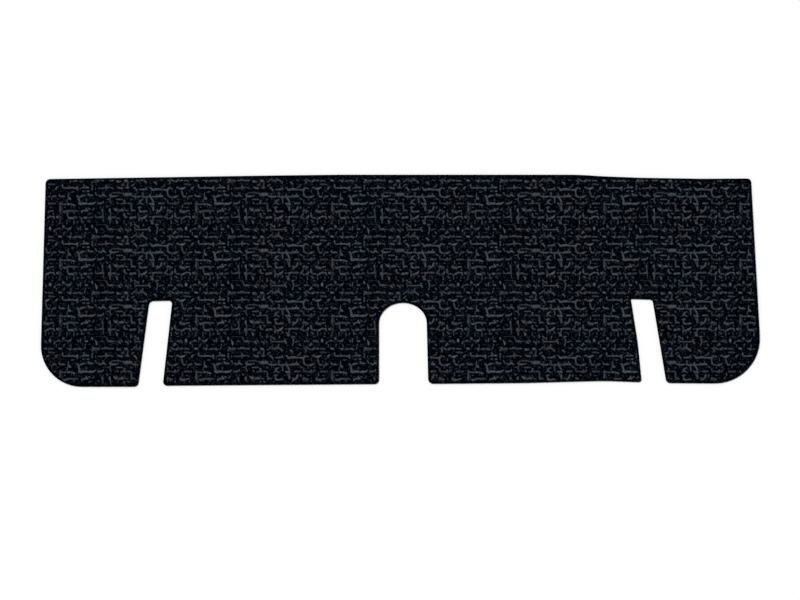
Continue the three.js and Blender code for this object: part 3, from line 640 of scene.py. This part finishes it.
class Slubs:
    """Gathers slubs into one mesh: each is a half-round yarn that swells, thins and tapers at its ends."""

    def __init__(self):
        self.vertices, self.faces, self.uvs, self.tones = [], [], [], []

    def add(self, shape):
        n = len(shape)
        wide, high, tones = shape[:, 2:].T
        side = sideways(shape)
        along = lengths(shape)
        end = np.minimum(along, along[-1] - along)
        bend = np.sqrt(1 - (1 - np.clip(end / (END_CURVE * wide), 0, 1)) ** 2)
        taper = BLUNT_END + (1 - BLUNT_END) * bend
        first = len(self.vertices)
        for k in range(SLUB_SIDES + 1):
            turn = math.pi * k / SLUB_SIDES
            lateral = 0.5 * wide * taper * math.cos(turn)
            z = CLOTH_TOP - SLUB_ROOT + (SLUB_ROOT + high * taper**0.5) * math.sin(turn)
            self.vertices.extend(np.column_stack([shape[:, :2] + side * lateral[:, None], z]))
            self.uvs.extend(np.column_stack([along, k / SLUB_SIDES * wide]))
            self.tones.extend(tones)
        for k in range(SLUB_SIDES + 1):
            a, b = first + k * n, first + (k + 1) % (SLUB_SIDES + 1) * n
            for i in range(n - 1):
                self.faces.append((a + i, a + i + 1, b + i + 1, b + i))
        self.faces.append([first + k * n for k in range(SLUB_SIDES + 1)])
        self.faces.append([first + k * n + n - 1 for k in reversed(range(SLUB_SIDES + 1))])

    def finish(self, name, slub_material):
        obj = piece(name, self.vertices, self.faces, [len(f) == 4 for f in self.faces], [slub_material])
        layer = obj.data.uv_layers.new(name="yarn")
        corner = np.empty(len(obj.data.loops), int)
        obj.data.loops.foreach_get("vertex_index", corner)
        layer.data.foreach_set("uv", np.array(self.uvs)[corner].ravel())
        tone = obj.data.attributes.new("tone", "FLOAT", "POINT")
        tone.data.foreach_set("value", np.array(self.tones, np.float32))
        return obj


def repeats(loop):
    """The back left corners of the repeats that reach over the cloth."""
    low, high = loop.min(axis=0), loop.max(axis=0)
    across, down = REPEAT_ENDS * END, REPEAT_PICKS * PICK
    first = math.floor((low[0] - REPEAT_LEFT) / across)
    last = math.ceil((high[0] - REPEAT_LEFT) / across)
    top = math.floor((REPEAT_BACK - high[1]) / down)
    bottom = math.ceil((REPEAT_BACK - low[1]) / down)
    for row in range(top, bottom + 1):
        for column in range(first, last + 1):
            yield REPEAT_LEFT + column * across, REPEAT_BACK - row * down


def weave(name, seed, strokes, loop, slub_material):
    """One mesh of all the copies of the given slubs that fit on the cloth."""
    random = np.random.default_rng(seed)
    shapes = [slub_shape(points, tone, random) for tone, *points in strokes]
    slubs = Slubs()
    for left, back in repeats(loop):
        for shape in shapes:
            laid = shape + (left, back, 0, 0, 0)
            laid[:, 4] *= 1 + TONE_SPREAD * random.normal()
            for run in stretches(laid, loop):
                if len(run) == len(shape) or lengths(run)[-1] >= SHORTEST_SLUB:
                    slubs.add(run)
    return slubs.finish(name, slub_material)


def specks(seed, strokes):
    """Short dim slubs strewn over the bare ground of a repeat, each along the weft or the warp."""
    random = np.random.default_rng(seed)
    taken = [point[:2] for _, *points in strokes for point in spaced(np.array(points, float), 1)]
    strewn = []
    for _ in range(SPECK_TRIES):
        x, y = random.uniform((0, 0), (REPEAT_ENDS, REPEAT_PICKS))
        apart = np.abs(np.array(taken) - (x, y))
        apart = np.minimum(apart, np.abs(apart - (REPEAT_ENDS, REPEAT_PICKS)))
        if np.hypot(*apart.T).min() < SPECK_ROOM:
            continue
        taken.append((x, y))
        half, width, tone = random.uniform(SPECK_LEAST, SPECK_MOST)
        across, down = (half, 0) if random.random() < WEFT_SPECKS else (0, half)
        strewn.append((tone, (x - across, y - down, width), (x + across, y + down, width)))
    return strewn


# Materials

FACE, WALL, BACK = range(3)
TINT_SCALE = 26  # patches of dye about 40 mm across
CAST_SCALE = 70
SPECKLE_SCALE = 330  # pale specks of the ground
FUZZ_SCALE = 1500
MOTTLE_SCALE = 420  # along a slub
FIBRE_SCALE = 2200
TWIST_PITCH = 1.1 * MM
WARM_TINT = (0.985, 0.965, 0.93)
PLAIN_TINT = (0.925, 0.965, 0.96)
COOL_TINT = (0.875, 0.965, 1.0)
YARN_GLOOM = (0, 0.0003, 0.0011)  # the blue cast that shows most in the dimmest yarn
VIOLET_CAST = (1.02, 0.96, 1.02)
GREEN_CAST = (0.98, 1.03, 0.98)
PAINTED_SHADE_REACH = 4 * MM  # how far out from a slub the ground is darkened by painted shade
CLEAR_SKY = 0.85  # the open share of the sky at which the painted shade on the ground is at its darkest
PAINTED_SHADE_LEFT = 0.25  # and how much of the ground's paleness the painted shade leaves there
GAP_PAINTED_SHADE = 0.35  # painted shade between two ground threads, against the ground's plain colour
CROWN_PAINTED_LIGHT = 1.4  # and painted light on the crown of a thread
TWIST_LEAN = 0.8  # of the twist's lines, across a slub for each step along it
MOTTLE_SHARE = 1.5  # how much of a slub's paleness comes from its mottle,
TWIST_SHARE = 0.06  # from its twist
PLAIN_SHARE = 0.25  # and from neither
THREAD_BUMP = (0.6, 0.3 * MM)  # strength and height
YARN_BUMP = (0.5, 0.2 * MM)
TONE_POWER = 1.45  # from a slub's tone, as the eye sees it, to how much light it sends back


class Nodes:
    """A material's node tree, with short ways to add and link nodes."""

    def __init__(self, name):
        self.material = bpy.data.materials.new(name)
        self.material.use_nodes = True
        self.tree = self.material.node_tree
        self.shader = self.tree.nodes["Principled BSDF"]

    def add(self, kind, inputs=(), **settings):
        node = self.tree.nodes.new("ShaderNode" + kind)
        for key, value in settings.items():
            setattr(node, key, value)
        for key, value in dict(inputs).items():
            if isinstance(value, bpy.types.NodeSocket):
                self.tree.links.new(value, node.inputs[key])
            else:
                node.inputs[key].default_value = value
        return node

    def maths(self, operation, a, b=0.0):
        return self.add("Math", {0: a, 1: b}, operation=operation).outputs[0]

    def ramp(self, value, stops):
        node = self.add("ValToRGB", {0: value})
        elements = node.color_ramp.elements
        while len(elements) < len(stops):
            elements.new(0.5)
        for element, (place, colour) in zip(elements, stops):
            element.position = place
            element.color = (*colour, 1)
        return node.outputs["Color"]

    def link(self, output, socket):
        self.tree.links.new(output, self.shader.inputs[socket])

    def noise(self, place, scale, detail=2, roughness=0.5):
        inputs = {"Vector": place, "Scale": scale, "Detail": detail, "Roughness": roughness}
        return self.add("TexNoise", inputs).outputs["Fac"]

    def bump(self, height, strength, distance):
        node = self.add("Bump", {"Strength": strength, "Distance": distance, "Height": height})
        self.link(node.outputs[0], "Normal")

    def matt(self):
        """The finished material, with no shine."""
        self.shader.inputs["Roughness"].default_value = 1
        self.shader.inputs["Specular IOR Level"].default_value = 0
        return self.material


def linear(red, green, blue):
    """A colour given as 0 to 255 in sRGB, as linear values."""
    shares = [c / 255 for c in (red, green, blue)]
    return tuple(c / 12.92 if c <= 0.04045 else ((c + 0.055) / 1.055) ** 2.4 for c in shares)


def thread_relief(nodes, place, pitch):
    """The height of a plain weave of that pitch, from 0 to 1."""
    split = nodes.add("SeparateXYZ", {0: place})
    turns = [nodes.maths("MULTIPLY", split.outputs[k], math.pi / pitch) for k in (0, 1)]
    waves = [nodes.maths("ABSOLUTE", nodes.maths("SINE", turn)) for turn in turns]
    over = nodes.add("TexChecker", {"Vector": place, "Scale": 1 / pitch}).outputs["Fac"]
    mixed = nodes.add("Mix", {"Factor": over, "A": waves[0], "B": waves[1]}, data_type="FLOAT")
    return mixed.outputs["Result"]


def times(nodes, colour, other):
    """The product of two colours."""
    inputs = {"Factor": 1.0, "A": colour, "B": other}
    mixed = nodes.add("Mix", inputs, data_type="RGBA", blend_type="MULTIPLY")
    return mixed.outputs["Result"]


def tinted(nodes, place, colour):
    """The colour, leaning a little warm or cool, and green or violet, from one patch of cloth to the next."""
    drift_of_dye = nodes.noise(place, TINT_SCALE)
    tint = nodes.ramp(drift_of_dye, [(0.36, WARM_TINT), (0.5, PLAIN_TINT), (0.64, COOL_TINT)])
    second_drift = nodes.noise(place, CAST_SCALE, detail=3)
    cast = nodes.ramp(second_drift, [(0.38, VIOLET_CAST), (0.62, GREEN_CAST)])
    return times(nodes, times(nodes, colour, tint), cast)


def face_cloth():
    """The ground of the tweed: near-black navy threads in a plain weave, with painted shade beside the slubs
    and painted light and shade on its threads.
    """
    nodes = Nodes("tweed_ground")
    place = nodes.add("TexCoord").outputs["Object"]
    speck = nodes.noise(place, SPECKLE_SCALE, roughness=0.6)
    # painted shade: the ground is darkened where nearby slubs hide part of the sky
    open_sky = nodes.add("AmbientOcclusion", {"Distance": PAINTED_SHADE_REACH}, samples=8).outputs["AO"]
    sky_range = {"Value": open_sky, "From Min": CLEAR_SKY, "From Max": 1.0}
    clear = nodes.add("MapRange", sky_range).outputs["Result"]
    left = nodes.maths("ADD", PAINTED_SHADE_LEFT, nodes.maths("MULTIPLY", clear, 1 - PAINTED_SHADE_LEFT))
    # the ground's speckle, times the painted shade beside the slubs
    shade = nodes.maths("MULTIPLY", speck, left)
    colour = nodes.ramp(
        shade,
        [
            (0.2, linear(0, 0, 3)),
            (0.44, linear(0, 1, 6)),
            (0.575, linear(6, 11, 18)),
            (0.72, linear(38, 42, 48)),
        ],
    )
    # painted light on the crowns of the ground threads and painted shade in the gaps between them, from the
    # weave's height
    relief = thread_relief(nodes, place, END)
    painted_thread_light = nodes.ramp(relief, [(0.0, (GAP_PAINTED_SHADE,) * 3), (0.9, (CROWN_PAINTED_LIGHT,) * 3)])
    nodes.link(tinted(nodes, place, times(nodes, colour, painted_thread_light)), "Base Color")
    fuzz = nodes.noise(place, FUZZ_SCALE)
    height = nodes.maths("ADD", relief, nodes.maths("MULTIPLY", fuzz, 0.5))
    nodes.bump(height, *THREAD_BUMP)
    return nodes.matt()


def yarn(name, colour):
    """Slub yarn: charcoal, twisted and mottled, as pale as each slub's tone makes it."""
    nodes = Nodes(name)
    place = nodes.add("TexCoord").outputs["Object"]
    split = nodes.add("SeparateXYZ", {0: nodes.add("UVMap", uv_map="yarn").outputs[0]})
    lay = nodes.maths("ADD", split.outputs[0], nodes.maths("MULTIPLY", split.outputs[1], TWIST_LEAN))
    twist = nodes.maths("SINE", nodes.maths("MULTIPLY", lay, 2 * math.pi / TWIST_PITCH))
    mottle = nodes.noise(place, MOTTLE_SCALE, roughness=0.6)
    tone = nodes.add("Attribute", attribute_name="tone").outputs["Fac"]
    pale = nodes.maths("POWER", tone, TONE_POWER)
    mottled = nodes.maths("MULTIPLY", mottle, MOTTLE_SHARE)
    flecked = nodes.maths("ADD", mottled, nodes.maths("MULTIPLY", twist, TWIST_SHARE))
    shade = nodes.maths("MULTIPLY", pale, nodes.maths("ADD", flecked, PLAIN_SHARE))
    levels = [nodes.maths("MULTIPLY", shade, share) for share in colour]
    levels = [nodes.maths("ADD", level, gloom) for level, gloom in zip(levels, YARN_GLOOM)]
    level = nodes.add("CombineXYZ", dict(enumerate(levels))).outputs[0]
    nodes.link(tinted(nodes, place, level), "Base Color")
    fibres = nodes.noise(place, FIBRE_SCALE)
    height = nodes.maths("ADD", nodes.maths("MULTIPLY", twist, 0.5), fibres)
    nodes.bump(height, *YARN_BUMP)
    return nodes.matt()


def felt(name, dark, pale, grain, lay=(1, 1, 1)):
    """Needled fibre, as on the cut wall and the backing, finer in the directions in which lay is larger."""
    nodes = Nodes(name)
    place = nodes.add("Mapping", {"Vector": nodes.add("TexCoord").outputs["Object"], "Scale": lay}).outputs[0]
    fibre = nodes.noise(place, grain, detail=5, roughness=0.7)
    nodes.link(nodes.ramp(fibre, [(0.35, dark), (0.7, pale)]), "Base Color")
    nodes.bump(fibre, *THREAD_BUMP)
    return nodes.matt()


# The mat

WALL_GRAIN, WALL_LAY = 900, (0.4, 0.4, 1.5)
BACKING_GRAIN = 500
WEFT_SEED, WARP_SEED, NUB_SEED, STREW_SEED, FLECK_SEED = range(11, 16)

outline = underside_outline(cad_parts["mat"])

cloth = cloth_sheet(
    outline,
    [
        face_cloth(),
        felt("cut_wall", linear(2, 4, 8), linear(34, 37, 42), WALL_GRAIN, lay=WALL_LAY),
        felt("needled_backing", linear(14, 15, 17), linear(46, 47, 50), BACKING_GRAIN),
    ],
)
slub_yarn = yarn("slub_yarn", linear(68, 71, 77))
weft = weave("weft_floats", WEFT_SEED, FLOATS, outline, slub_yarn)
warp = weave("warp_ties", WARP_SEED, TIES, outline, slub_yarn)
nubs = weave("nubs", NUB_SEED, NUBS, outline, slub_yarn)
strewn = specks(STREW_SEED, FLOATS + TIES + NUBS)
flecks = weave("flecks", FLECK_SEED, strewn, outline, slub_yarn)

for part in (cloth, weft, warp, nubs, flecks):
    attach(part, "root")
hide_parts("mat")

# The set

FLOOR_RADIUS = 4
FLOOR_CORNERS = 64
SKY_LIGHT = 0.3
SUN_LIGHT = 0.75 * math.pi
SUN_SPREAD = math.radians(25)
SUN_LEAN = (math.radians(-14), math.radians(-10), 0)
VIEW_WIDTH = 1.2794
VIEW_PLACE = (-0.00056, -0.0309, 2)


def pale_floor():
    mesh = bpy.data.meshes.new("floor")
    turns = np.linspace(0, 2 * math.pi, FLOOR_CORNERS, endpoint=False)
    rim = [(FLOOR_RADIUS * math.cos(a), FLOOR_RADIUS * math.sin(a), 0) for a in turns]
    mesh.from_pydata(rim, [], [range(FLOOR_CORNERS)])
    nodes = Nodes("floor_white")
    nodes.shader.inputs["Base Color"].default_value = (1, 1, 1, 1)
    mesh.materials.append(nodes.matt())
    floor = bpy.data.objects.new("floor", mesh)
    bpy.context.scene.collection.objects.link(floor)


pale_floor()

world = bpy.data.worlds.new("world")
world.use_nodes = True
world.node_tree.nodes["Background"].inputs["Color"].default_value = (1, 1, 1, 1)
world.node_tree.nodes["Background"].inputs["Strength"].default_value = SKY_LIGHT
bpy.context.scene.world = world

lamp = bpy.data.lights.new("softbox", "SUN")
lamp.energy = SUN_LIGHT
lamp.angle = SUN_SPREAD
softbox = bpy.data.objects.new("softbox", lamp)
softbox.rotation_euler = SUN_LEAN
bpy.context.scene.collection.objects.link(softbox)

lens = bpy.data.cameras.new("camera")
lens.type = "ORTHO"
lens.ortho_scale = VIEW_WIDTH
camera = bpy.data.objects.new("camera", lens)
camera.location = VIEW_PLACE
bpy.context.scene.collection.objects.link(camera)
bpy.context.scene.camera = camera

bpy.context.scene.view_settings.view_transform = "Standard"
